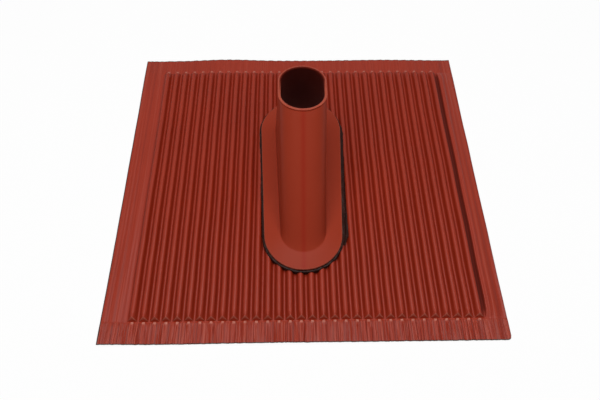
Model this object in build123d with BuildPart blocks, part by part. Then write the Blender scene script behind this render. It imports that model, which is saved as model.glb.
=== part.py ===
import os
from math import asin, atan2, ceil, cos, floor, hypot, pi, radians, sin, tan

from build123d import *

# Antenna roof tile: a pleated flashing sheet that lies flat on z = 0 with its eaves edge towards -Y,
# and a plastic collar for the mast, bedded on a sealing strip in the middle of the pleats.

# Sheet
sheet_width = 450.0
sheet_depth = 430.0
sheet_gauge = 0.6
sheet_corner = 4.0
left_border = 28.5
right_border = 24.0
crest_run = 3.4
crest_height = 4.8
border_land = 3.0
pleat_pitch = 12.4
pleat_height = 6.5
pleat_bend = 2.4
half_bend_flats = 2
hem_depth = 26.0
nose_length = 3.5
fold_step = 0.4
fold_width = 6.0
fold_slope = 0.9

# Collar flange
flange_front_y = -86.0
flange_back_y = 74.0
flange_front_radius = 46.5
flange_back_radius = 53.0
flange_thickness = 3.0
flange_edge = 1.0
oval_end_flats = 24

# Sleeve of the collar: the mouth's height and front are those of its inner edge
sleeve_front_y = -83.0
sleeve_front_radius = 27.0
sleeve_back_y = 74.0
sleeve_back_radius = 34.0
sleeve_wall = 2.4
mouth_height = 125.0
mouth_front_y = 10.5
mouth_tilt = 7.0
mouth_width = 50.0
mouth_length = 73.0
lip_overhang = 1.0
lip_height = 2.0
lip_edge = 0.6

# Sealing strip, what is pressed out of it into the pleats beside the flange, and the hole under it
seal_thickness = 2.0
seal_overhang = 3.0
seal_edge = 0.8
squeeze_height = 5.2
seal_setback = 2.0
hole_clearance = 1.0

# Places that follow from these sizes
pleat_count = int((sheet_width - left_border - right_border) / pleat_pitch)
first_valley_x = left_border - sheet_width / 2
last_valley_x = first_valley_x + pleat_count * pleat_pitch
first_ridge_x = first_valley_x + pleat_pitch / 2
crest_x = last_valley_x + crest_run
land_x = sheet_width / 2 - border_land
hem_line = sheet_depth / 2 - hem_depth
flange_bottom = pleat_height + seal_thickness
flange_top = flange_bottom + flange_thickness
fold_top = sheet_gauge + fold_step
tilt = radians(mouth_tilt)
mouth_centre = (
    0,
    mouth_front_y + mouth_length / 2 * cos(tilt),
    mouth_height - mouth_length / 2 * sin(tilt),
)
mouth_plane = Plane(mouth_centre, x_dir=(1, 0, 0), z_dir=(0, sin(tilt), cos(tilt)))


def flank_angle():
    """Slope of a pleat's straight flanks, between the round ridge and the round valley."""
    half_pitch = pleat_pitch / 2
    rise = pleat_height - sheet_gauge - 2 * pleat_bend
    return atan2(rise, half_pitch) + asin(2 * pleat_bend / hypot(rise, half_pitch))


def repeat_pleats(outline):
    """One outline, drawn about its ridge at x = 0, at every ridge."""
    with Locations(*[(first_ridge_x + i * pleat_pitch, 0) for i in range(pleat_count)]):
        add(outline)


def bend_points(centre_x, centre_z, radius, start, turn, flats):
    """Corners of a round bend that is worked in flats, from a start angle through a turn."""
    angles = [start + turn * i / flats for i in range(flats + 1)]
    return [(centre_x + radius * cos(angle), centre_z + radius * sin(angle)) for angle in angles]


def pleat_section():
    """The sheet's upper face across all pleats and the raised right border, closed at the ground."""
    flank = flank_angle()
    ridge_radius = pleat_bend + sheet_gauge / 2
    valley_radius = pleat_bend - sheet_gauge / 2
    ridge_z = pleat_height - ridge_radius
    valley_z = sheet_gauge + valley_radius
    half_pitch = pleat_pitch / 2
    rising = bend_points(-half_pitch, valley_z, valley_radius, -pi / 2, flank, half_bend_flats)
    ridge = bend_points(0, ridge_z, ridge_radius, pi / 2 + flank, -2 * flank, 2 * half_bend_flats)
    falling = bend_points(half_pitch, valley_z, valley_radius, -pi / 2 - flank, flank, half_bend_flats)
    with BuildLine() as pleat:
        Polyline(*rising, *ridge, *falling)
    with BuildLine() as outline:
        repeat_pleats(pleat.line)
        Polyline(
            (first_valley_x, sheet_gauge),
            (first_valley_x, 0),
            (sheet_width / 2, 0),
            (sheet_width / 2, sheet_gauge),
            (land_x, sheet_gauge),
            (crest_x, crest_height),
            (last_valley_x, sheet_gauge),
        )
    make_face(outline.edges())


def border_hollow():
    """The open underside of the raised right border, one gauge inside its upper face."""
    rise = crest_height - sheet_gauge
    lean = crest_run / rise
    fall = rise / (land_x - crest_x)
    side_gauge = sheet_gauge * hypot(1, lean)
    top_gauge = sheet_gauge * hypot(1, fall)
    reach = land_x - last_valley_x - side_gauge + sheet_gauge * lean
    ridge_z = (sheet_gauge - top_gauge + reach * fall) / (1 + lean * fall)
    ridge_x = last_valley_x + side_gauge + (ridge_z - sheet_gauge) * lean
    left_x = last_valley_x + side_gauge - 2 * sheet_gauge * lean
    right_x = land_x + (2 * sheet_gauge - top_gauge) / fall
    with BuildLine() as outline:
        Polyline((left_x, -sheet_gauge), (right_x, -sheet_gauge), (ridge_x, ridge_z), close=True)
    make_face(outline.edges())


def hollow_section():
    """The open underside of all pleats, one gauge inside the upper face and open below the ground."""
    flank = flank_angle()
    radius = pleat_bend - sheet_gauge / 2
    centre_z = pleat_height - sheet_gauge - radius
    foot_z = -sheet_gauge
    foot_x = radius * sin(flank) + (centre_z + radius * cos(flank) - foot_z) / tan(flank)
    ridge = bend_points(0, centre_z, radius, pi / 2 - flank, 2 * flank, 2 * half_bend_flats)
    with BuildSketch() as hollow:
        with BuildLine():
            Polyline(*ridge, (-foot_x, foot_z), (foot_x, foot_z), close=True)
        make_face()
    repeat_pleats(hollow.sketch)


def hem_section():
    """Section of a hem: every pleat is pressed into a flat fold, and the borders are flat."""
    half_fold = fold_width / 2
    half_pitch = pleat_pitch / 2
    with BuildLine() as fold:
        for z in (0, sheet_gauge):
            Polyline(
                (-half_pitch, z),
                (-half_fold - fold_slope, z),
                (-half_fold, z + fold_step),
                (half_fold, z + fold_step),
                (half_fold + fold_slope, z),
                (half_pitch, z),
            )
    with BuildLine() as outline:
        repeat_pleats(fold.line)
        for valley_x, edge_x in ((first_valley_x, -sheet_width / 2), (last_valley_x, sheet_width / 2)):
            Polyline((valley_x, 0), (edge_x, 0), (edge_x, sheet_gauge), (valley_x, sheet_gauge))
    make_face(outline.edges())


def nose_profile(inset, floor_z):
    """Pleats seen from the side: upright up to the folds, then sloping to the ridge at both ends."""
    foot_y = hem_line - inset
    ridge_y = foot_y - nose_length
    with BuildLine() as outline:
        Polyline(
            (-foot_y, floor_z),
            (-foot_y, fold_top),
            (-ridge_y, pleat_height),
            (ridge_y, pleat_height),
            (foot_y, fold_top),
            (foot_y, floor_z),
            close=True,
        )
    make_face(outline.edges())


def tapered_oval(front_y, front_radius, back_y, back_radius):
    """Two round ends, worked in flats, and the straight sides that touch both."""
    turn = asin((back_radius - front_radius) / (back_y - front_y))
    back_end = bend_points(0, back_y, back_radius, -turn, pi + 2 * turn, oval_end_flats)
    front_end = bend_points(0, front_y, front_radius, pi + turn, pi - 2 * turn, oval_end_flats)
    with BuildLine() as outline:
        Polyline(*back_end, *front_end, close=True)
    make_face(outline.edges())


def flange_oval(growth):
    """The flange's outline, larger by growth all round."""
    front_radius = flange_front_radius + growth
    back_radius = flange_back_radius + growth
    tapered_oval(flange_front_y, front_radius, flange_back_y, back_radius)


def sleeve_oval(growth):
    """The sleeve's outer outline at its foot, larger by growth all round."""
    front_radius = sleeve_front_radius + growth
    back_radius = sleeve_back_radius + growth
    tapered_oval(sleeve_front_y, front_radius, sleeve_back_y, back_radius)


def mouth_oval(growth):
    """The mouth's inner outline in its own plane, larger by growth all round."""
    radius = mouth_width / 2
    half_straight = mouth_length / 2 - radius
    tapered_oval(-half_straight, radius + growth, half_straight, radius + growth)


# Shape of the pleats and the raised border, from the ground up, with sloping noses at both ends
with BuildPart() as pleat_bodies:
    with BuildSketch(Plane.XZ.offset(-hem_line)):
        pleat_section()
    extrude(amount=2 * hem_line)
    with BuildSketch(Plane.YZ):
        nose_profile(0, 0)
    extrude(amount=sheet_width / 2, both=True, mode=Mode.INTERSECT)

# Hollow of the pleats, one gauge inside that shape
nose_rise = pleat_height - fold_top
nose_inset = sheet_gauge * hypot(nose_length, nose_rise) / nose_rise
with BuildPart() as pleat_hollows:
    with BuildSketch(Plane.XZ.offset(-hem_line)):
        hollow_section()
        border_hollow()
    extrude(amount=2 * hem_line)
    with BuildSketch(Plane.YZ):
        nose_profile(nose_inset, -sheet_gauge)
    extrude(amount=sheet_width / 2, both=True, mode=Mode.INTERSECT)

# Pleated sheet: pleats, hems pressed flat at the eaves and the ridge, and side borders in one skin
with BuildPart() as pleated_sheet:
    add(pleat_bodies.part)
    with BuildSketch(Plane.XZ.offset(hem_line), Plane.XZ.offset(-sheet_depth / 2)):
        hem_section()
    extrude(amount=hem_depth)
    with BuildSketch():
        with Locations((first_valley_x - left_border / 2, 0)):
            Rectangle(left_border, 2 * hem_line)
    extrude(amount=sheet_gauge)
    add(pleat_hollows.part, mode=Mode.SUBTRACT)
    upright_edges = pleated_sheet.edges().filter_by(Axis.Z).group_by(Axis.Y)
    fillet(upright_edges[0] + upright_edges[-1], sheet_corner)
    with BuildSketch():
        sleeve_oval(hole_clearance - sleeve_wall)
    extrude(amount=pleat_height, mode=Mode.SUBTRACT)

# Sealing strip: a bed under the flange, pressed down into the pleats and out to the next ridges
left_ridge = floor((-flange_back_radius - first_ridge_x) / pleat_pitch)
right_ridge = ceil((flange_back_radius - first_ridge_x) / pleat_pitch)
squeeze_left_x = first_ridge_x + left_ridge * pleat_pitch
squeeze_right_x = first_ridge_x + right_ridge * pleat_pitch
with BuildPart() as sealing_strip:
    with BuildSketch(Plane.XY.offset(flange_bottom)):
        flange_oval(seal_overhang)
    extrude(amount=-flange_bottom)
    chamfer(sealing_strip.faces().sort_by(Axis.Z)[-1].edges(), seal_edge)
    with BuildSketch():
        with BuildLine():
            Polyline(
                (squeeze_left_x, flange_front_y),
                (squeeze_right_x, flange_front_y),
                (squeeze_right_x, flange_back_y),
                (squeeze_left_x, flange_back_y),
                close=True,
            )
        make_face()
    extrude(amount=squeeze_height)
    with BuildSketch(Plane.XY.offset(flange_bottom)):
        sleeve_oval(hole_clearance - sleeve_wall + seal_setback)
    extrude(amount=-flange_bottom, mode=Mode.SUBTRACT)
    add(pleat_bodies.part, mode=Mode.SUBTRACT)

# Collar: flange, tapered sleeve and lip in one moulding, hollow from the flange to the mouth
with BuildPart() as mast_collar:
    with BuildSketch(Plane.XY.offset(flange_bottom)):
        flange_oval(0)
    extrude(amount=flange_thickness)
    chamfer(mast_collar.faces().sort_by(Axis.Z)[-1].edges(), flange_edge)
    with BuildSketch(Plane.XY.offset(flange_top)):
        sleeve_oval(0)
    with BuildSketch(mouth_plane):
        mouth_oval(sleeve_wall)
    loft(ruled=True)
    with BuildSketch(mouth_plane):
        mouth_oval(sleeve_wall + lip_overhang)
    extrude(amount=-lip_height)
    with BuildSketch(Plane.XY.offset(flange_bottom)):
        sleeve_oval(-sleeve_wall)
    with BuildSketch(mouth_plane):
        mouth_oval(0)
    loft(ruled=True, mode=Mode.SUBTRACT)
    mouth_face = mast_collar.faces().sort_by(Axis(mouth_plane.origin, mouth_plane.z_dir))[-1]
    chamfer(mouth_face.outer_wire().edges(), lip_edge)

os.makedirs("parts", exist_ok=True)
pleated_sheet.part.label = "pleated_sheet"
export_step(pleated_sheet.part, "parts/pleated_sheet.step")
sealing_strip.part.label = "sealing_strip"
export_step(sealing_strip.part, "parts/sealing_strip.step")
mast_collar.part.label = "mast_collar"
export_step(mast_collar.part, "parts/mast_collar.step")
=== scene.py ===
from math import asin, atan2, cos, exp, hypot, radians, sin

import bmesh
import bpy
from mathutils import Matrix, Vector


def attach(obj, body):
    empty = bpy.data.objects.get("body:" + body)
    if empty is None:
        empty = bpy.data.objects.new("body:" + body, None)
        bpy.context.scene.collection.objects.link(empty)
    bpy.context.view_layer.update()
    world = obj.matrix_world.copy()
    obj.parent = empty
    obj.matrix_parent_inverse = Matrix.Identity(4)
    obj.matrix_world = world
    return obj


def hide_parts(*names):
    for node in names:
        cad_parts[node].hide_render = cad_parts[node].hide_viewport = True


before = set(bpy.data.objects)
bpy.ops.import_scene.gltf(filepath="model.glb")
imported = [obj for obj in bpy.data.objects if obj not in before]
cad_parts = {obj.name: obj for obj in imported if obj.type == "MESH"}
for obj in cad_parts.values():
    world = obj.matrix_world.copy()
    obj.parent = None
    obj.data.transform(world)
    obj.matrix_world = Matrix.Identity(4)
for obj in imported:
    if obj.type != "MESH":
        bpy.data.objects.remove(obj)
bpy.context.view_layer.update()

# Sizes of the tile, in metres, as its solids have them
SHEET_WIDTH = 0.450
SHEET_DEPTH = 0.430
SHEET_GAUGE = 0.0006
LEFT_BORDER = 0.0285
PLEAT_PITCH = 0.0124
PLEAT_COUNT = 32
PLEAT_HEIGHT = 0.0065
RIDGE_BEND = 0.0031
VALLEY_BEND = 0.0022
CREST_RUN = 0.0034
CREST_HEIGHT = 0.0048
BORDER_LAND = 0.0030
HEM_DEPTH = 0.026
NOSE_LENGTH = 0.0035
FOLD_STEP = 0.0004
FOLD_HALF = 0.0030
RUN_OUT = 0.0060
CORNER_RADIUS = 0.0040
HEM_STEPS = (0.0010, 0.0012, 0.0018, 0.0030, 0.0040, 0.0050, 0.0050, 0.0038, 0.0004, 0.0008)
WALL_STEPS = ((0.0009, 0.08), (0.0006, 0.40), (0.0006, 0.75), (0.0006, 0.96), (0.0007, 1.0))
HEM_LINE = SHEET_DEPTH / 2 - HEM_DEPTH
FIRST_VALLEY = LEFT_BORDER - SHEET_WIDTH / 2
LAST_VALLEY = FIRST_VALLEY + PLEAT_COUNT * PLEAT_PITCH
FOLD_TOP = SHEET_GAUGE + FOLD_STEP
NOSE_SLOPE = NOSE_LENGTH / (PLEAT_HEIGHT - FOLD_TOP)
FLANGE_BOTTOM = 0.0085
FLANGE_TOP = 0.0115
SLEEVE_WALL = 0.0024
LIP_OVERHANG = 0.0010
LIP_HEIGHT = 0.0020
MOUTH_TILT = radians(7)
MOUTH_MIDDLE = (0, 0.04673, 0.12055)

# Ovals of the collar: front end, its radius, back end, its radius
FLANGE_OVAL = (-0.0860, 0.0465, 0.0740, 0.0530)
SLEEVE_OVAL = (-0.0830, 0.0270, 0.0740, 0.0340)
UNDER_LIP_OVAL = (-0.0135, 0.0250, 0.0117, 0.0251)
MOUTH_OVAL = (-0.0115, 0.0250, 0.0115, 0.0250)
SLEEVE_FOOT_OVAL = (-0.0816, 0.0270, 0.0738, 0.0339)
OVAL_POINTS = 98

# Finer shapes that only the scene shows
RUN_OUT_LEAD = 0.0006
NOSE_NARROWING = 0.62
NOSE_FOOT = 0.0022
PINCH_HALF = 0.0017
PINCH_STEPS = (0.0010, -0.0004, -0.0006)
EDGE_STRIP = 0.0009
EDGE_STEPS = (0.0004, 0.0008)
LEFT_BORDER_LINES = 24
RIGHT_BORDER_LINES = 18
HOLE_CLEARANCE = 0.0010
BEAD_VOXEL = 0.0009
BEAD_PUSH = 0.0014
TONGUE_SIZE = (0.0066, 0.0240, 0.0024)
TONGUE_LEVEL = 0.0040
TONGUE_PLEAT = 20

# Places closer together than this are taken as one
SAME_PLACE = 1e-6
SAME_LINE = 1e-5
WELD_REACH = 0.00002


# Working by hand, in code

def put_down():
    """Leaves edit mode and drops every selection."""
    if bpy.context.mode != "OBJECT":
        bpy.ops.object.mode_set(mode="OBJECT")
    bpy.ops.object.select_all(action="DESELECT")


def take(piece):
    """Makes one piece the active and only selected object."""
    put_down()
    piece.select_set(True)
    bpy.context.view_layer.objects.active = piece


def work_on(piece):
    """Opens a piece in edit mode with nothing selected."""
    take(piece)
    bpy.ops.object.mode_set(mode="EDIT")
    bpy.ops.mesh.select_mode(type="VERT")
    bpy.ops.mesh.select_all(action="DESELECT")


def pick_points(piece, test):
    """In edit mode, selects the points whose place passes the test."""
    bpy.ops.mesh.select_mode(type="VERT")
    mesh = bmesh.from_edit_mesh(piece.data)
    for point in mesh.verts:
        point.select = bool(test(point.co))
    mesh.select_flush_mode()
    bmesh.update_edit_mesh(piece.data)


def pick_edges(piece, test):
    """In edit mode, selects the edges that pass the test, which is given the edge itself."""
    bpy.ops.mesh.select_mode(type="EDGE")
    bpy.ops.mesh.select_all(action="DESELECT")
    mesh = bmesh.from_edit_mesh(piece.data)
    for edge in mesh.edges:
        if test(edge):
            edge.select = True
    bmesh.update_edit_mesh(piece.data)


def move(x, y, z):
    bpy.ops.transform.translate(value=(x, y, z))


def stretch(x, y, z, about=(0, 0, 0)):
    bpy.ops.transform.resize(value=(x, y, z), center_override=about)


def draw_out(x, y, z):
    """Extrudes what is selected by a step."""
    bpy.ops.mesh.extrude_region_move(TRANSFORM_OT_translate={"value": (x, y, z)})


def settle(piece, modifier):
    """Applies a modifier."""
    take(piece)
    bpy.ops.object.modifier_apply(modifier=modifier.name)


def weld(piece, reach):
    """Merges the points of a piece that lie closer together than the reach."""
    work_on(piece)
    bpy.ops.mesh.select_all(action="SELECT")
    bpy.ops.mesh.remove_doubles(threshold=reach)
    put_down()


def name_piece(name):
    piece = bpy.context.active_object
    piece.name = name
    piece.data.name = name
    return piece


def ripple(piece, name, size, strength, direction="NORMAL", group="", middle=0.5, hard=False):
    """Displaces a piece by a cloud pattern, stretched to a size along each axis, and applies it."""
    pattern = bpy.data.textures.new(name, type="CLOUDS")
    pattern.noise_scale = 1.0
    pattern.noise_depth = 1 if hard else 2
    pattern.noise_type = "HARD_NOISE" if hard else "SOFT_NOISE"
    put_down()
    bpy.ops.object.empty_add(type="PLAIN_AXES", location=(0, 0, 0))
    guide = bpy.context.active_object
    guide.scale = size
    bpy.context.view_layer.update()
    wave = piece.modifiers.new(name, "DISPLACE")
    wave.texture = pattern
    wave.texture_coords = "OBJECT"
    wave.texture_coords_object = guide
    wave.strength = strength
    wave.mid_level = middle
    wave.direction = direction
    wave.vertex_group = group
    settle(piece, wave)
    bpy.data.objects.remove(guide)
    bpy.data.textures.remove(pattern)


def grip(piece, name, test):
    """Makes a vertex group of the points that pass the test."""
    group = piece.vertex_groups.new(name=name)
    work_on(piece)
    pick_points(piece, test)
    bpy.ops.object.vertex_group_assign()
    put_down()
    return group.name


def note_down(piece, name, amounts):
    """Notes one amount for each point of a piece, for the material to read."""
    note = piece.data.attributes.new(name, "FLOAT", "POINT")
    note.data.foreach_set("value", amounts)


def mark(piece, name, amount):
    """Notes an amount that depends on each point's place."""
    note_down(piece, name, [amount(point.co) for point in piece.data.vertices])


def lift(piece, height):
    """Raises every point by a height that depends on its place."""
    for point in piece.data.vertices:
        point.co.z += height(point.co)


def ease(low, high, value):
    """Goes smoothly from 0 at low to 1 at high."""
    share = min(max((value - low) / (high - low), 0), 1)
    return share * share * (3 - 2 * share)


def shape_oval(piece, ends, growth, level):
    """Turns the unit circle at a level into an oval: each half is sized and moved to its end."""
    front_y, front_radius, back_y, back_radius = ends
    pick_points(piece, lambda p: abs(p.z - level) < 0.1 and p.y > 0)
    back = [p.index for p in bmesh.from_edit_mesh(piece.data).verts if p.select]
    stretch(back_radius + growth, back_radius + growth, 1, (0, 0, level))
    move(0, back_y, 0)
    pick_points(piece, lambda p: abs(p.z - level) < 0.1)
    for point in bmesh.from_edit_mesh(piece.data).verts:
        if point.index in back:
            point.select = False
    stretch(front_radius + growth, front_radius + growth, 1, (0, 0, level))
    move(0, front_y, 0)


# Pleated sheet

def pleat_columns():
    """Across one pleat, from valley to valley: places of the sheet's upper face about the ridge."""
    half = PLEAT_PITCH / 2
    bends = RIDGE_BEND + VALLEY_BEND
    rise = PLEAT_HEIGHT - SHEET_GAUGE - bends
    flank = atan2(rise, half) + asin(bends / hypot(rise, half))
    ridge_radius = RIDGE_BEND + SHEET_GAUGE / 2
    valley_radius = VALLEY_BEND - SHEET_GAUGE / 2
    profile = []
    for share in (0, 0.25, 0.5, 0.75, 1):
        turn = flank * share
        climb = valley_radius * (1 - cos(turn))
        profile.append((-half + valley_radius * sin(turn), SHEET_GAUGE + climb))
    low = profile[-1]
    high = (-ridge_radius * sin(flank), PLEAT_HEIGHT - ridge_radius * (1 - cos(flank)))
    for share in (1 / 3, 2 / 3):
        profile.append((low[0] + share * (high[0] - low[0]), low[1] + share * (high[1] - low[1])))
    for share in (1, 0.8, 0.6, 0.4, 0.2, 0):
        turn = flank * share
        profile.append((-ridge_radius * sin(turn), PLEAT_HEIGHT - ridge_radius * (1 - cos(turn))))
    return profile + [(-x, z) for x, z in reversed(profile[:-1])]


def end_of_pleat(pleat, side):
    """One end of the pleat: the ridge runs out to a point and a steep nose falls to the flat hem."""
    def pick_open_end():
        pick_edges(pleat, lambda e: e.is_boundary and e.verts[0].co.y * side > 0
                   and abs(e.verts[0].co.x - e.verts[1].co.x) > SAME_PLACE)

    pick_open_end()
    draw_out(0, side * (RUN_OUT - RUN_OUT_LEAD), 0)
    draw_out(0, side * RUN_OUT_LEAD, 0)
    for x, z in pleat_columns():
        lean = NOSE_LENGTH - max(z - FOLD_TOP, 0) * NOSE_SLOPE
        narrow = NOSE_NARROWING * ease(NOSE_FOOT, PLEAT_HEIGHT, z)
        for back, share in ((RUN_OUT_LEAD, 0.85), (0.0, 1.0)):
            here = side * (HEM_LINE - NOSE_LENGTH - back)
            pick_points(pleat, lambda p: abs(p.x - x) < SAME_PLACE and abs(p.y - here) < SAME_PLACE)
            move(-x * narrow * share, side * lean, 0)
    pick_open_end()
    for share in (0.9, 0.5 / 0.9, 0):
        draw_out(0, 0, 0)
        stretch(1, share, share, (0, side * HEM_LINE, SHEET_GAUGE))
    place = HEM_LINE
    for count, step in enumerate(HEM_STEPS):
        draw_out(0, side * step, 0)
        place += step
        here = side * place
        if count == 0:
            pick_points(pleat, lambda p: abs(p.y - here) < SAME_PLACE and abs(p.x) < FOLD_HALF)
            move(0, 0, FOLD_STEP)
        if count < len(PINCH_STEPS):
            pick_points(pleat, lambda p: abs(p.y - here) < SAME_PLACE and abs(p.x) < PINCH_HALF)
            move(0, 0, PINCH_STEPS[count])
        pick_open_end()


def among_pleats(p):
    """True between the first and the last valley, both included."""
    return FIRST_VALLEY - SAME_LINE < p.x < LAST_VALLEY + SAME_LINE


def stretched_and_highlit(p):
    """Where the coating is painted pale, along the edge of each nose and on the pinch below it: partly
    coating stretched pale, partly painted highlight on these crests.
    """
    if not among_pleats(p):
        return 0
    on_edge = abs(HEM_LINE - abs(p.y) - max(p.z - FOLD_TOP, 0) * NOSE_SLOPE) < 0.00005
    on_pinch = HEM_LINE + 0.0002 < abs(p.y) < HEM_LINE + 0.0045 and p.z > FOLD_TOP + 0.0003
    return 1.0 if on_pinch else (0.6 if on_edge and p.z > FOLD_TOP + 0.0002 else 0)


def outermost(p):
    """1 on the outermost strip of the sheet, less along its right edge, 0 everywhere else."""
    if -p.x > SHEET_WIDTH / 2 - EDGE_STRIP or abs(p.y) > SHEET_DEPTH / 2 - EDGE_STRIP:
        return 1.0
    return 0.3 if p.x > SHEET_WIDTH / 2 - EDGE_STRIP else 0


def on_hem(p):
    """1 on the front hem, less on the back hem, 0 on the field."""
    return ease(0.0005, 0.002, abs(p.y) - HEM_LINE) * (1.0 if p.y < 0 else 0.25)


def on_border(p):
    """1 on the two side borders."""
    return ease(0.001, 0.004, max(FIRST_VALLEY - p.x, p.x - LAST_VALLEY - CREST_RUN))


def on_flank(p):
    """About 1 half way up the flanks of the pleats and down in the valleys, 0 on the ridges."""
    height = (p.z - SHEET_GAUGE) / (PLEAT_HEIGHT - SHEET_GAUGE)
    inside = among_pleats(p) and abs(p.y) < HEM_LINE - 0.0002
    return 4 * height * (1 - height) + 1.2 * (1 - height) ** 4 if inside else 0


def fold_line(p):
    """Along the two folded edges of each pleat in the front hem, 0.4 at the left up to 1 at the right."""
    from_ridge = abs((p.x - FIRST_VALLEY) % PLEAT_PITCH - PLEAT_PITCH / 2)
    inside = FIRST_VALLEY < p.x < LAST_VALLEY and p.y < -HEM_LINE - 0.002
    return 0.4 + 0.6 * ease(-0.10, 0.10, p.x) if inside and abs(from_ridge - FOLD_HALF) < 0.0004 else 0


def hollow(p):
    """The deep groove between the last pleat and the right border, which runs out at both hems."""
    across = ease(-0.0054, -0.0030, p.x - LAST_VALLEY) * ease(-0.0026, -0.0016, LAST_VALLEY - p.x)
    return across * ease(-0.0005, 0.012, HEM_LINE - abs(p.y))


def round_corner(p):
    """Pulls the front right corner in to its radius."""
    middle = Vector((SHEET_WIDTH / 2 - CORNER_RADIUS, CORNER_RADIUS - SHEET_DEPTH / 2))
    out = Vector((p.x, p.y)) - middle
    if out.x > 0 and out.y < 0 and out.length > SAME_PLACE:
        p.x, p.y = middle + out.normalized() * max(out.x, -out.y)


def wave_of_the_edges(p):
    """The back edge arches up left of the mast, the front left corner and edge lift a little."""
    back = ease(0.165, 0.215, p.y) * (0.0032 * exp(-((p.x + 0.105) / 0.050) ** 2)
                                      + 0.0014 * exp(-((p.x - 0.120) / 0.060) ** 2))
    front = ease(0.190, 0.215, -p.y) * 0.0012 * exp(-((p.x + 0.03) / 0.070) ** 2)
    corner = 0.0026 * ease(0.100, 0.215, -p.y) * ease(0.170, 0.225, -p.x)
    return back + front + corner


def border_rise(p):
    """The right border stands up along the last pleat and is pressed flat towards both hems."""
    if p.x < LAST_VALLEY + SAME_LINE or abs(p.y) > HEM_LINE:
        return 0
    pressed = ease(-0.001, 0.009, HEM_LINE - abs(p.y))
    crest = LAST_VALLEY + CREST_RUN
    land = SHEET_WIDTH / 2 - BORDER_LAND
    share = max((land - p.x) / (land - crest), 0)
    place = LAST_VALLEY
    for step, height in WALL_STEPS:
        place += step
        if p.x < place + SAME_LINE:
            share = height
            break
    return (CREST_HEIGHT - SHEET_GAUGE) * share * pressed


def fold_pleat():
    """One pleat with both its ends, from a flat grid: each column is moved to its place and height."""
    columns = pleat_columns()
    put_down()
    bpy.ops.mesh.primitive_grid_add(x_subdivisions=len(columns) - 1, y_subdivisions=26, size=1)
    pleat = name_piece("pleated_flashing")
    work_on(pleat)
    for count, (x, z) in enumerate(columns):
        start = count / (len(columns) - 1) - 0.5
        pick_points(pleat, lambda p: abs(p.x - start) < 1e-4 and abs(p.z) < 1e-7)
        move(x - start, 0, z)
    bpy.ops.mesh.select_all(action="SELECT")
    stretch(1, 2 * (HEM_LINE - NOSE_LENGTH - RUN_OUT), 1)
    for side in (-1, 1):
        end_of_pleat(pleat, side)
    bpy.ops.mesh.select_all(action="SELECT")
    bpy.ops.mesh.remove_doubles(threshold=WELD_REACH)
    move(FIRST_VALLEY + PLEAT_PITCH / 2, 0, 0)
    put_down()
    return pleat


def repeat_pleat(sheet):
    row = sheet.modifiers.new("row_of_pleats", "ARRAY")
    row.count = PLEAT_COUNT
    row.use_relative_offset = False
    row.use_constant_offset = True
    row.constant_offset_displace = (PLEAT_PITCH, 0, 0)
    row.use_merge_vertices = True
    row.merge_threshold = WELD_REACH
    settle(sheet, row)


def add_borders(sheet):
    """Draws the side borders out of the first and the last valley, line by line."""
    edge = sum(EDGE_STEPS)
    left_line = (LEFT_BORDER - edge) / LEFT_BORDER_LINES
    left_steps = [-left_line] * LEFT_BORDER_LINES + [-step for step in EDGE_STEPS]
    right_line = (SHEET_WIDTH / 2 - LAST_VALLEY - CREST_RUN - edge) / RIGHT_BORDER_LINES
    wall = [step for step, height in WALL_STEPS]
    right_steps = wall + [right_line] * RIGHT_BORDER_LINES + list(EDGE_STEPS)
    work_on(sheet)
    for here, steps in ((FIRST_VALLEY, left_steps), (LAST_VALLEY, right_steps)):
        for step in steps:
            pick_edges(sheet, lambda e: e.is_boundary
                       and all(abs(v.co.x - here) < SAME_LINE for v in e.verts))
            draw_out(step, 0, 0)
            here += step
    put_down()


def crease_sheet(sheet):
    """Creases in the hems, lines in the borders and the loose lie of the whole sheet on the floor."""
    hems = grip(sheet, "hems", lambda p: abs(p.y) > HEM_LINE + 0.0025)
    front = grip(sheet, "front_hem", lambda p: p.y < -HEM_LINE - 0.0025)
    borders = grip(sheet, "borders", lambda p: p.x < FIRST_VALLEY - 0.003 or p.x > LAST_VALLEY + 0.006)
    ripple(sheet, "fine_creases", (0.0022, 0.060, 0.02), 0.0013, "Z", front, 0.2, True)
    ripple(sheet, "hem_creases", (0.0060, 0.080, 0.02), 0.0014, "Z", front, 0.2, True)
    ripple(sheet, "back_creases", (0.0050, 0.080, 0.02), 0.0006, "Z", hems, 0.2, True)
    ripple(sheet, "border_lines", (0.0055, 0.350, 0.02), 0.0012, "Z", borders, 0.2, True)
    ripple(sheet, "lie_of_the_sheet", (0.12, 0.14, 0.05), 0.0010, "Z", middle=0.35)
    ripple(sheet, "drift_of_the_pleats", (0.09, 0.07, 0.05), 0.0012, "X")
    lift(sheet, lambda p: max(SHEET_GAUGE - p.z, 0))
    weld(sheet, WELD_REACH)


def give_gauge(sheet):
    skin = sheet.modifiers.new("gauge", "SOLIDIFY")
    skin.thickness = SHEET_GAUGE
    skin.offset = -1
    skin.material_offset_rim = 1
    settle(sheet, skin)


def cut_mast_hole(sheet):
    put_down()
    bpy.ops.mesh.primitive_circle_add(vertices=OVAL_POINTS, radius=1, fill_type="NGON")
    cutter = name_piece("mast_hole")
    work_on(cutter)
    shape_oval(cutter, SLEEVE_OVAL, HOLE_CLEARANCE - SLEEVE_WALL, 0)
    bpy.ops.mesh.select_all(action="SELECT")
    move(0, 0, -0.01)
    draw_out(0, 0, 0.03)
    bpy.ops.mesh.select_all(action="SELECT")
    bpy.ops.mesh.normals_make_consistent(inside=False)
    put_down()
    hole = sheet.modifiers.new("mast_hole", "BOOLEAN")
    hole.operation = "DIFFERENCE"
    hole.solver = "EXACT"
    hole.object = cutter
    settle(sheet, hole)
    bpy.data.objects.remove(cutter)
    weld(sheet, 0.000005)


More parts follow.
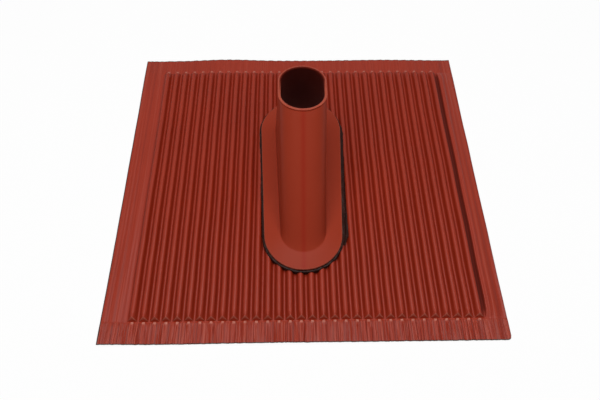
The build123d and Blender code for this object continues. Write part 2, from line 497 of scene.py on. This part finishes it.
def make_sheet():
    """The flashing: one pleat, repeated, with borders drawn out, creased, given its gauge and cut open."""
    sheet = fold_pleat()
    repeat_pleat(sheet)
    add_borders(sheet)
    for name, amount in (
        ("stretched_and_highlit", stretched_and_highlit),
        ("outermost", outermost),
        ("on_hem", on_hem),
        ("on_border", on_border),
        ("hollow", hollow),
        ("on_flank", on_flank),
        ("fold_lines", fold_line),
    ):
        mark(sheet, name, amount)
    for point in sheet.data.vertices:
        round_corner(point.co)
    lift(sheet, border_rise)
    lift(sheet, wave_of_the_edges)
    crease_sheet(sheet)
    give_gauge(sheet)
    cut_mast_hole(sheet)
    take(sheet)
    bpy.ops.object.shade_smooth_by_angle(angle=radians(38))
    return sheet


# Collar

def make_collar():
    """Flange, sleeve and lip as one moulding: a tube of rings, each shaped to its oval and put in place.

    The rings wait one metre apart, far above the tile, so that each can be picked by its level alone.
    """
    wall = SLEEVE_WALL
    over = SLEEVE_WALL + LIP_OVERHANG
    course = (
        ("level", SLEEVE_OVAL, -wall, FLANGE_BOTTOM),
        ("level", FLANGE_OVAL, -0.0006, FLANGE_BOTTOM),
        ("level", FLANGE_OVAL, 0.0, FLANGE_BOTTOM + 0.0006),
        ("level", FLANGE_OVAL, 0.0, FLANGE_TOP - 0.0011),
        ("level", FLANGE_OVAL, -0.0003, FLANGE_TOP - 0.0004),
        ("level", FLANGE_OVAL, -0.0010, FLANGE_TOP),
        ("level", SLEEVE_OVAL, 0.0010, FLANGE_TOP),
        ("level", SLEEVE_OVAL, 0.0003, FLANGE_TOP + 0.0003),
        ("level", SLEEVE_FOOT_OVAL, 0.0, FLANGE_TOP + 0.0013),
        ("mouth", UNDER_LIP_OVAL, wall, -LIP_HEIGHT),
        ("mouth", MOUTH_OVAL, over - 0.0003, -LIP_HEIGHT),
        ("mouth", MOUTH_OVAL, over, -LIP_HEIGHT + 0.0004),
        ("mouth", MOUTH_OVAL, over, -0.0006),
        ("mouth", MOUTH_OVAL, over - 0.0003, -0.0002),
        ("mouth", MOUTH_OVAL, over - 0.0010, 0.0),
        ("mouth", MOUTH_OVAL, 0.0010, 0.0),
        ("mouth", MOUTH_OVAL, 0.0003, -0.0003),
        ("mouth", MOUTH_OVAL, 0.0, -0.0011),
    )
    waiting = 10
    put_down()
    bpy.ops.mesh.primitive_cylinder_add(
        vertices=OVAL_POINTS, radius=1, depth=len(course) - 1, end_fill_type="NOTHING")
    collar = name_piece("mast_sleeve")
    work_on(collar)
    bpy.ops.mesh.select_all(action="SELECT")
    move(0, 0, waiting + (len(course) - 1) / 2)
    pick_edges(collar, lambda e: abs(e.verts[0].co.z - e.verts[1].co.z) > 1)
    bpy.ops.mesh.subdivide(number_cuts=len(course) - 2)
    pick_edges(collar, lambda e: e.is_boundary)
    bpy.ops.mesh.bridge_edge_loops()
    for count, (plane, ends, growth, height) in enumerate(course):
        level = waiting + count
        shape_oval(collar, ends, growth, level)
        pick_points(collar, lambda p: abs(p.z - level) < 0.1)
        if plane == "mouth":
            move(0, 0, height)
            bpy.ops.transform.rotate(
                value=MOUTH_TILT, orient_axis="X", center_override=(0, 0, level))
            move(MOUTH_MIDDLE[0], MOUTH_MIDDLE[1], MOUTH_MIDDLE[2] - level)
        else:
            move(0, 0, height - level)
    pick_edges(collar, lambda e: (e.verts[0].co - e.verts[1].co).length > 0.060
               and abs(e.verts[0].co.z - e.verts[1].co.z) > 0.05)
    bpy.ops.mesh.subdivide(number_cuts=12)
    bpy.ops.mesh.select_all(action="SELECT")
    bpy.ops.mesh.normals_make_consistent(inside=False)
    put_down()
    mark(collar, "edges", rounded_edge)
    inner = {point for face in collar.data.polygons if faces_bore(face) for point in face.vertices}
    note_down(collar, "inside", [float(point.index in inner) for point in collar.data.vertices])
    ripple(collar, "moulding_sink", (0.030, 0.045, 0.045), 0.0004)
    take(collar)
    bpy.ops.object.shade_smooth_by_angle(angle=radians(35))
    return collar


def faces_bore(face):
    """True for the walls inside the sleeve: steep faces that look towards its axis."""
    foot_y = (SLEEVE_OVAL[0] + SLEEVE_OVAL[2]) / 2
    share = (face.center.z - FLANGE_TOP) / (MOUTH_MIDDLE[2] - FLANGE_TOP)
    axis_y = foot_y + share * (MOUTH_MIDDLE[1] - foot_y)
    towards = Vector((-face.center.x, axis_y - face.center.y, 0))
    below_lip = FLANGE_BOTTOM < face.center.z < MOUTH_MIDDLE[2] - 0.00155
    return face.area > 1e-6 and face.normal.dot(towards) > 0 and below_lip


def rounded_edge(p):
    """Where the moulding catches the light: the top edge of the flange and the crown of the lip."""
    on_flange = FLANGE_TOP - 0.0012 < p.z < FLANGE_TOP - 0.0002
    tilted = (p.z - MOUTH_MIDDLE[2]) * cos(MOUTH_TILT) + (p.y - MOUTH_MIDDLE[1]) * sin(MOUTH_TILT)
    return 0.5 if on_flange else (0.4 if tilted > -0.0003 else 0)


# Sealing bead

def make_bead():
    """The bed of sealing compound: the solid's own form, made soft and uneven where it is pressed out."""
    bead = bpy.data.objects.new("sealing_bead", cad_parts["sealing_strip"].data.copy())
    bpy.context.scene.collection.objects.link(bead)
    bead.data.materials.clear()
    weld(bead, 0.00001)
    tongue = make_tongue()
    take(bead)
    tongue.select_set(True)
    bpy.ops.object.join()
    soft = bead.modifiers.new("soft_mass", "REMESH")
    soft.mode = "VOXEL"
    soft.voxel_size = BEAD_VOXEL
    settle(bead, soft)
    outside = grip(bead, "outside", lambda p: beyond_flange(p) > -0.001)
    for point in bead.data.vertices:
        point.co.x += pressed_out(point.co)
    round_off = bead.modifiers.new("round_off", "SMOOTH")
    round_off.iterations = 3
    round_off.factor = 0.5
    round_off.vertex_group = outside
    settle(bead, round_off)
    ripple(bead, "lumps", (0.0070, 0.0120, 0.0070), 0.0018, "NORMAL", outside, 0.72)
    ripple(bead, "strings", (0.0022, 0.0060, 0.0022), 0.0006, "NORMAL", outside)
    bead.vertex_groups.clear()
    take(bead)
    bpy.ops.object.shade_smooth_by_angle(angle=radians(60))
    return bead


def make_tongue():
    """The tongue in which the compound ends, in the pleat to the right of the flange's front curve."""
    valley = FIRST_VALLEY + TONGUE_PLEAT * PLEAT_PITCH
    front_y = FLANGE_OVAL[0]
    tip_y = front_y - 0.010
    put_down()
    bpy.ops.mesh.primitive_cube_add(size=1)
    tongue = name_piece("tongue")
    work_on(tongue)
    bpy.ops.mesh.select_all(action="SELECT")
    stretch(*TONGUE_SIZE)
    move(valley, front_y - 0.004, TONGUE_LEVEL)
    pick_points(tongue, lambda p: p.z < TONGUE_LEVEL)
    stretch(0.6, 1, 1, (valley, 0, 0))
    pick_points(tongue, lambda p: p.y < tip_y)
    stretch(0.15, 1, 1, (valley - 0.0027, 0, 0))
    pick_points(tongue, lambda p: p.y < tip_y and p.z < TONGUE_LEVEL)
    move(0, 0, 0.0010)
    put_down()
    return tongue


def pressed_out(p):
    """How far the compound is pushed to the right of the flange, less and less towards both ends."""
    beside = ease(0.0010, 0.0030, beyond_flange(p)) * ease(0.044, 0.048, p.x)
    return BEAD_PUSH * beside * ease(-0.104, -0.080, p.y) * ease(-0.085, -0.070, -p.y)


def beyond_flange(p):
    """How far a point lies outside the flange's outline, in plan."""
    front_y, front_radius, back_y, back_radius = FLANGE_OVAL
    along = min(max((p.y - front_y) / (back_y - front_y), 0), 1)
    radius = front_radius + along * (back_radius - front_radius)
    middle_y = front_y + along * (back_y - front_y)
    return hypot(p.x, p.y - middle_y) - radius


sheet = make_sheet()
collar = make_collar()
bead = make_bead()
for piece, node, slot in (
    (sheet, "pleated_sheet", "coated_sheet"),
    (collar, "mast_collar", "collar_plastic"),
    (bead, "sealing_strip", "black_sealant"),
):
    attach(piece, "root")
    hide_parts(node)


# Finishes: colours as the materials hold them, the deep tone before the light one

COATING = ((0.272, 0.0208, 0.0056), (0.294, 0.0238, 0.0072))
FLANK_SHADE = (0.130, 0.0100, 0.0042)
# Hem creases: dark lines of painted shade; pale lines partly coating stretched pale, partly painted
# highlight
HEM_CREASE_SHADE_AND_HIGHLIGHT = ((0.170, 0.0145, 0.0068), (0.430, 0.1000, 0.0650))
FOLD_SHADE = (0.125, 0.0100, 0.0040)
# Border lines: dark lines of painted shade, pale lines of painted highlight
BORDER_LINE_SHADE_AND_HIGHLIGHT = ((0.170, 0.0135, 0.0060), (0.400, 0.0850, 0.0560))
# Nose edges and pinches: partly coating stretched pale, partly painted highlight
STRETCHED_AND_HIGHLIT_COATING = (0.480, 0.150, 0.105)
GROOVE_SHADE = (0.060, 0.0042, 0.0018)
EDGE_LINE = (0.040, 0.012, 0.008)
CUT_EDGE = ((0.022, 0.009, 0.006), (0.055, 0.024, 0.017))
MOULDING = ((0.288, 0.0322, 0.0130), (0.304, 0.0347, 0.0145))
MOULD_LINE = (0.290, 0.0235, 0.0100)
# Painted highlight on the flange's top edge and the lip's crown
MOULDING_EDGE_HIGHLIGHT = (0.430, 0.130, 0.085)
BORE_SHADE = (0.095, 0.0085, 0.0040)
SEALANT = ((0.0150, 0.0042, 0.0028), (0.0320, 0.0095, 0.0068))
# Painted glints on the highest points of the sealant's grain
SEALANT_GLINT = (0.20, 0.13, 0.10)


def wire(tree, source, target):
    tree.links.new(source, target)


def add_node(tree, kind, **settings):
    """Adds a shader node and sets its own properties."""
    node = tree.nodes.new("ShaderNode" + kind)
    for key, value in settings.items():
        setattr(node, key, value)
    return node


def new_group(name, inputs, outputs):
    tree = bpy.data.node_groups.new(name, "ShaderNodeTree")
    for label, kind, value in inputs:
        socket = tree.interface.new_socket(label, in_out="INPUT", socket_type="NodeSocket" + kind)
        if value is not None:
            socket.default_value = value
    for label, kind in outputs:
        tree.interface.new_socket(label, in_out="OUTPUT", socket_type="NodeSocket" + kind)
    return tree, tree.nodes.new("NodeGroupInput"), tree.nodes.new("NodeGroupOutput")


def make_grain():
    """A fine grain of the surface and a slow change of tone, from one place vector."""
    tree, given, result = new_group(
        "surface_grain",
        [("Place", "Vector", None), ("Fineness", "Float", 900.0), ("Patch", "Float", 14.0)],
        [("Height", "Float"), ("Tone", "Float")])
    fine = add_node(tree, "TexNoise")
    fine.inputs["Detail"].default_value = 3
    wire(tree, given.outputs["Place"], fine.inputs["Vector"])
    wire(tree, given.outputs["Fineness"], fine.inputs["Scale"])
    slow = add_node(tree, "TexNoise")
    slow.inputs["Detail"].default_value = 4
    slow.inputs["Roughness"].default_value = 0.6
    wire(tree, given.outputs["Place"], slow.inputs["Vector"])
    wire(tree, given.outputs["Patch"], slow.inputs["Scale"])
    spread = add_node(tree, "MapRange")
    spread.inputs["From Min"].default_value = 0.3
    spread.inputs["From Max"].default_value = 0.7
    wire(tree, slow.outputs["Fac"], spread.inputs["Value"])
    wire(tree, fine.outputs["Fac"], result.inputs["Height"])
    wire(tree, spread.outputs["Result"], result.inputs["Tone"])
    return tree


def build_fleck_group():
    """Breaks a mask up into flecks, for stretched coating and for painted highlights and glints."""
    tree, given, result = new_group(
        "fleck_breakup",
        [("Place", "Vector", None), ("Mask", "Float", 0.0), ("Fleck", "Float", 500.0)],
        [("Fleck_mask", "Float")])
    flecks = add_node(tree, "TexNoise")
    flecks.inputs["Detail"].default_value = 2
    wire(tree, given.outputs["Place"], flecks.inputs["Vector"])
    wire(tree, given.outputs["Fleck"], flecks.inputs["Scale"])
    spread = add_node(tree, "MapRange")
    spread.inputs["From Min"].default_value = 0.25
    spread.inputs["From Max"].default_value = 0.6
    spread.inputs["To Min"].default_value = 0.35
    wire(tree, flecks.outputs["Fac"], spread.inputs["Value"])
    flecked = reckoned(tree, "MULTIPLY", given.outputs["Mask"], spread.outputs["Result"], clamp=True)
    wire(tree, flecked, result.inputs["Fleck_mask"])
    return tree


def blend(tree, share, first, second, mode="MIX"):
    """A colour mix; each side is a colour or an output socket."""
    mix = add_node(tree, "Mix", data_type="RGBA", blend_type=mode)
    for value, socket in ((share, mix.inputs[0]), (first, mix.inputs[6]), (second, mix.inputs[7])):
        if isinstance(value, (int, float)):
            socket.default_value = value
        elif isinstance(value, tuple):
            socket.default_value = (*value, 1)
        else:
            wire(tree, value, socket)
    return mix.outputs[2]


def scaled(tree, value, low, high, start=0.0, end=1.0):
    """Maps a value from start..end to low..high."""
    spread = add_node(tree, "MapRange")
    for label, number in (("From Min", start), ("From Max", end), ("To Min", low), ("To Max", high)):
        spread.inputs[label].default_value = number
    wire(tree, value, spread.inputs["Value"])
    return spread.outputs["Result"]


def reckoned(tree, operation, first, second, clamp=False):
    """One sum or product of two outputs."""
    result = add_node(tree, "Math", operation=operation, use_clamp=clamp)
    wire(tree, first, result.inputs[0])
    wire(tree, second, result.inputs[1])
    return result.outputs[0]


def open_finish(name, gloss):
    """A new material with its place vector and its grain."""
    finish = bpy.data.materials.new(name)
    finish.use_nodes = True
    tree = finish.node_tree
    shader = tree.nodes["Principled BSDF"]
    shader.inputs["Specular IOR Level"].default_value = gloss
    place = add_node(tree, "TexCoord").outputs["Object"]
    grain = add_node(tree, "Group")
    grain.node_tree = GRAIN
    wire(tree, place, grain.inputs["Place"])
    return finish, tree, shader, place, grain


def noted(tree, name):
    return add_node(tree, "Attribute", attribute_name=name).outputs["Fac"]


def break_into_flecks(tree, place, mask, fleck):
    flecks = add_node(tree, "Group")
    flecks.node_tree = FLECK_GROUP
    wire(tree, place, flecks.inputs["Place"])
    wire(tree, mask, flecks.inputs["Mask"])
    flecks.inputs["Fleck"].default_value = fleck
    return flecks.outputs["Fleck_mask"]


def bumped(tree, shader, heights):
    """Chains bumps; each has a height socket and a depth in metres."""
    below = None
    for height, depth in heights:
        bump = add_node(tree, "Bump")
        bump.inputs["Strength"].default_value = 1.0
        bump.inputs["Distance"].default_value = depth
        wire(tree, height, bump.inputs["Height"])
        if below is not None:
            wire(tree, below, bump.inputs["Normal"])
        below = bump.outputs["Normal"]
    wire(tree, below, shader.inputs["Normal"])


def drawn_lines(tree, place, across, along):
    """Lines drawn along the sheet: a noise that is fine across it and long along it."""
    mapping = add_node(tree, "Mapping")
    mapping.inputs["Scale"].default_value = (across, along, 1.0)
    wire(tree, place, mapping.inputs["Vector"])
    lines = add_node(tree, "TexNoise")
    lines.inputs["Scale"].default_value = 1.0
    lines.inputs["Detail"].default_value = 2
    wire(tree, mapping.outputs["Vector"], lines.inputs["Vector"])
    return lines.outputs["Fac"]


def coat_finish():
    finish, tree, shader, place, grain = open_finish("brick_red_coating", 0.22)
    fine = drawn_lines(tree, place, 900.0, 7.0)
    broad = drawn_lines(tree, place, 260.0, 2.5)
    tone = blend(tree, grain.outputs["Tone"], *COATING)
    field = blend(tree, scaled(tree, noted(tree, "on_flank"), 0.0, 0.29), tone, FLANK_SHADE)
    # Painted shade and painted highlight along the hem creases, on the same lines as their bump
    dark = blend(tree, scaled(tree, fine, 0.75, 0.0, 0.36, 0.50), field, HEM_CREASE_SHADE_AND_HIGHLIGHT[0])
    light = blend(tree, scaled(tree, fine, 0.0, 0.45, 0.52, 0.68), dark, HEM_CREASE_SHADE_AND_HIGHLIGHT[1])
    hemmed = blend(tree, noted(tree, "on_hem"), field, light)
    folds = scaled(tree, noted(tree, "fold_lines"), 0.0, 0.75)
    streaked = blend(tree, folds, hemmed, FOLD_SHADE)
    # Painted shade and painted highlight along the border lines, on the same lines as their bump
    lines = blend(tree, scaled(tree, broad, 0.42, 0.0, 0.34, 0.50), streaked, BORDER_LINE_SHADE_AND_HIGHLIGHT[0])
    gleams = blend(tree, scaled(tree, broad, 0.0, 0.26, 0.52, 0.68), lines, BORDER_LINE_SHADE_AND_HIGHLIGHT[1])
    bordered = blend(tree, noted(tree, "on_border"), streaked, gleams)
    # Nose edges and pinches painted pale: partly stretched coating, partly painted highlight
    pale = blend(tree, break_into_flecks(tree, place, noted(tree, "stretched_and_highlit"), 450.0), bordered, STRETCHED_AND_HIGHLIT_COATING)
    shaded = blend(tree, scaled(tree, noted(tree, "hollow"), 0.0, 0.8), pale, GROOVE_SHADE)
    edged = blend(tree, noted(tree, "outermost"), shaded, EDGE_LINE)
    wire(tree, edged, shader.inputs["Base Color"])
    even = scaled(tree, grain.outputs["Tone"], 0.36, 0.46)
    dull = scaled(tree, noted(tree, "hollow"), 0.0, 0.5)
    wire(tree, reckoned(tree, "ADD", even, dull), shader.inputs["Roughness"])
    hem_lines = reckoned(tree, "MULTIPLY", fine, noted(tree, "on_hem"))
    border_lines = reckoned(tree, "MULTIPLY", broad, noted(tree, "on_border"))
    bumped(tree, shader, (
        (grain.outputs["Height"], 0.00002),
        (hem_lines, 0.0006),
        (border_lines, 0.0008),
    ))
    return finish


def edge_finish():
    finish, tree, shader, place, grain = open_finish("cut_edge", 0.3)
    tone = blend(tree, grain.outputs["Tone"], *CUT_EDGE)
    wire(tree, tone, shader.inputs["Base Color"])
    wire(tree, scaled(tree, grain.outputs["Tone"], 0.45, 0.65), shader.inputs["Roughness"])
    bumped(tree, shader, ((grain.outputs["Height"], 0.00003),))
    return finish


def collar_finish():
    """Red plastic with a faint mould line down the front of the sleeve, painted highlights on the flange's
    top edge and the lip's crown, and painted shade in a rougher bore.
    """
    finish, tree, shader, place, grain = open_finish("red_moulding", 0.08)
    grain.inputs["Fineness"].default_value = 1400.0
    grain.inputs["Patch"].default_value = 22.0
    tone = blend(tree, grain.outputs["Tone"], *MOULDING)
    across = add_node(tree, "SeparateXYZ")
    wire(tree, place, across.inputs[0])
    away = add_node(tree, "Math", operation="ABSOLUTE")
    wire(tree, across.outputs["X"], away.inputs[0])
    seam = scaled(tree, away.outputs[0], 1.0, 0.0, 0.0003, 0.0040)
    front = scaled(tree, across.outputs["Y"], 1.0, 0.0, 0.030, 0.034)
    seamed = blend(tree, reckoned(tree, "MULTIPLY", seam, front), tone, MOULD_LINE)
    # Painted highlight on the flange's top edge and the lip's crown, broken into flecks
    pale = blend(tree, break_into_flecks(tree, place, noted(tree, "edges"), 380.0), seamed, MOULDING_EDGE_HIGHLIGHT)
    shaded = blend(tree, noted(tree, "inside"), pale, BORE_SHADE)
    wire(tree, shaded, shader.inputs["Base Color"])
    even = scaled(tree, grain.outputs["Tone"], 0.38, 0.46)
    dull = scaled(tree, noted(tree, "inside"), 0.0, 0.4)
    wire(tree, reckoned(tree, "ADD", even, dull), shader.inputs["Roughness"])
    bumped(tree, shader, ((grain.outputs["Height"], 0.00002),))
    return finish


def sealant_finish():
    finish, tree, shader, place, grain = open_finish("black_sealant", 0.06)
    grain.inputs["Fineness"].default_value = 420.0
    grain.inputs["Patch"].default_value = 90.0
    tone = blend(tree, grain.outputs["Tone"], *SEALANT)
    # Painted glints: pale flecks on the highest points of the grain
    glints = break_into_flecks(tree, place, scaled(tree, grain.outputs["Height"], 0.0, 0.8, 0.66, 0.72), 300.0)
    wire(tree, blend(tree, glints, tone, SEALANT_GLINT), shader.inputs["Base Color"])
    wire(tree, scaled(tree, grain.outputs["Tone"], 0.16, 0.34), shader.inputs["Roughness"])
    bumped(tree, shader, ((grain.outputs["Height"], 0.00012),))
    return finish


GRAIN = make_grain()
FLECK_GROUP = build_fleck_group()
sheet.data.materials.append(coat_finish())
sheet.data.materials.append(edge_finish())
collar.data.materials.append(collar_finish())
bead.data.materials.append(sealant_finish())


# Floor, light and camera

WHITE = (1, 1, 1, 1)
PAPER_GREY = (0.85, 0.85, 0.85, 1)
PAPER_GLOW = 0.95
ROOM_LIGHT = 0.02
FLOOR_DROP = 0.001

# Lamps: name, place, width and depth, watts; each looks at the tile's middle
LAMPS = (
    ("overhead_box", (-0.05, 0.05, 1.3), (1.2, 0.9), 15.2),
    ("left_box", (-0.6, -0.55, 1.0), (0.5, 0.5), 1.9),
    ("right_box", (0.6, -0.55, 1.0), (0.5, 0.5), 1.9),
)

# The camera's place in metres, its turns and its lens in millimetres
CAMERA_PLACE = (-0.01671, -0.41303, 0.59776)
CAMERA_PITCH = radians(57.397)
CAMERA_YAW = radians(-2.082)
CAMERA_ROLL = radians(1.245)
CAMERA_LENS = 33.797
FILM_WIDTH = 36


def seen_white(tree):
    """1 for the rays that look at the background: the camera's own and those of gloss and glass."""
    rays = add_node(tree, "LightPath").outputs
    mirrored = reckoned(tree, "ADD", rays["Is Glossy Ray"], rays["Is Transmission Ray"], clamp=True)
    return reckoned(tree, "ADD", rays["Is Camera Ray"], mirrored, clamp=True)


def lay_floor():
    """White paper that keeps the tile's shadow."""
    put_down()
    bpy.ops.mesh.primitive_plane_add(size=8, location=(0, 0, -FLOOR_DROP))
    floor = name_piece("floor")
    paper = bpy.data.materials.new("white_paper")
    paper.use_nodes = True
    tree = paper.node_tree
    tree.nodes.clear()
    out = add_node(tree, "OutputMaterial")
    matt = add_node(tree, "BsdfDiffuse")
    matt.inputs["Color"].default_value = PAPER_GREY
    glow = add_node(tree, "Emission")
    glow.inputs["Color"].default_value = WHITE
    glow.inputs["Strength"].default_value = 1.0
    mix = add_node(tree, "MixShader")
    wire(tree, scaled(tree, seen_white(tree), 0.0, PAPER_GLOW), mix.inputs["Fac"])
    wire(tree, matt.outputs[0], mix.inputs[1])
    wire(tree, glow.outputs[0], mix.inputs[2])
    wire(tree, mix.outputs[0], out.inputs["Surface"])
    floor.data.materials.append(paper)


def light_room():
    """A dim room that shows white to the camera."""
    world = bpy.data.worlds.new("studio")
    bpy.context.scene.world = world
    world.use_nodes = True
    tree = world.node_tree
    tree.nodes.clear()
    out = add_node(tree, "OutputWorld")
    mix = add_node(tree, "MixShader")
    wire(tree, seen_white(tree), mix.inputs["Fac"])
    for socket, strength in ((1, ROOM_LIGHT), (2, 1.0)):
        backdrop = add_node(tree, "Background")
        backdrop.inputs["Color"].default_value = WHITE
        backdrop.inputs["Strength"].default_value = strength
        wire(tree, backdrop.outputs[0], mix.inputs[socket])
    wire(tree, mix.outputs[0], out.inputs["Surface"])


def hang_lamp(name, place, size, watts):
    lamp = bpy.data.lights.new(name, "AREA")
    lamp.shape = "RECTANGLE"
    lamp.size, lamp.size_y = size
    lamp.energy = watts
    stand = bpy.data.objects.new(name, lamp)
    bpy.context.scene.collection.objects.link(stand)
    stand.location = place
    stand.rotation_euler = (-Vector(place)).to_track_quat("-Z", "Y").to_euler()


def set_camera():
    """Looks down the roof from the eaves: pitched first, then rolled, then turned about the upright."""
    right = Vector((1, 0, 0))
    ahead = Vector((0, cos(CAMERA_PITCH), -sin(CAMERA_PITCH)))
    up = Vector((0, sin(CAMERA_PITCH), cos(CAMERA_PITCH)))
    rolled_right = cos(CAMERA_ROLL) * right + sin(CAMERA_ROLL) * up
    rolled_up = -sin(CAMERA_ROLL) * right + cos(CAMERA_ROLL) * up
    turn = Matrix.Rotation(CAMERA_YAW, 3, "Z")
    axes = [turn @ rolled_right, turn @ rolled_up, turn @ -ahead]
    camera = bpy.data.cameras.new("camera")
    camera.sensor_fit = "HORIZONTAL"
    camera.sensor_width = FILM_WIDTH
    camera.lens = CAMERA_LENS
    camera.clip_start = 0.01
    stand = bpy.data.objects.new("camera", camera)
    bpy.context.scene.collection.objects.link(stand)
    pose = Matrix([[axis[row] for axis in axes] for row in range(3)]).to_4x4()
    pose.translation = CAMERA_PLACE
    stand.matrix_world = pose
    bpy.context.scene.camera = stand


lay_floor()
light_room()
for lamp in LAMPS:
    hang_lamp(*lamp)
set_camera()
bpy.context.scene.view_settings.view_transform = "Standard"
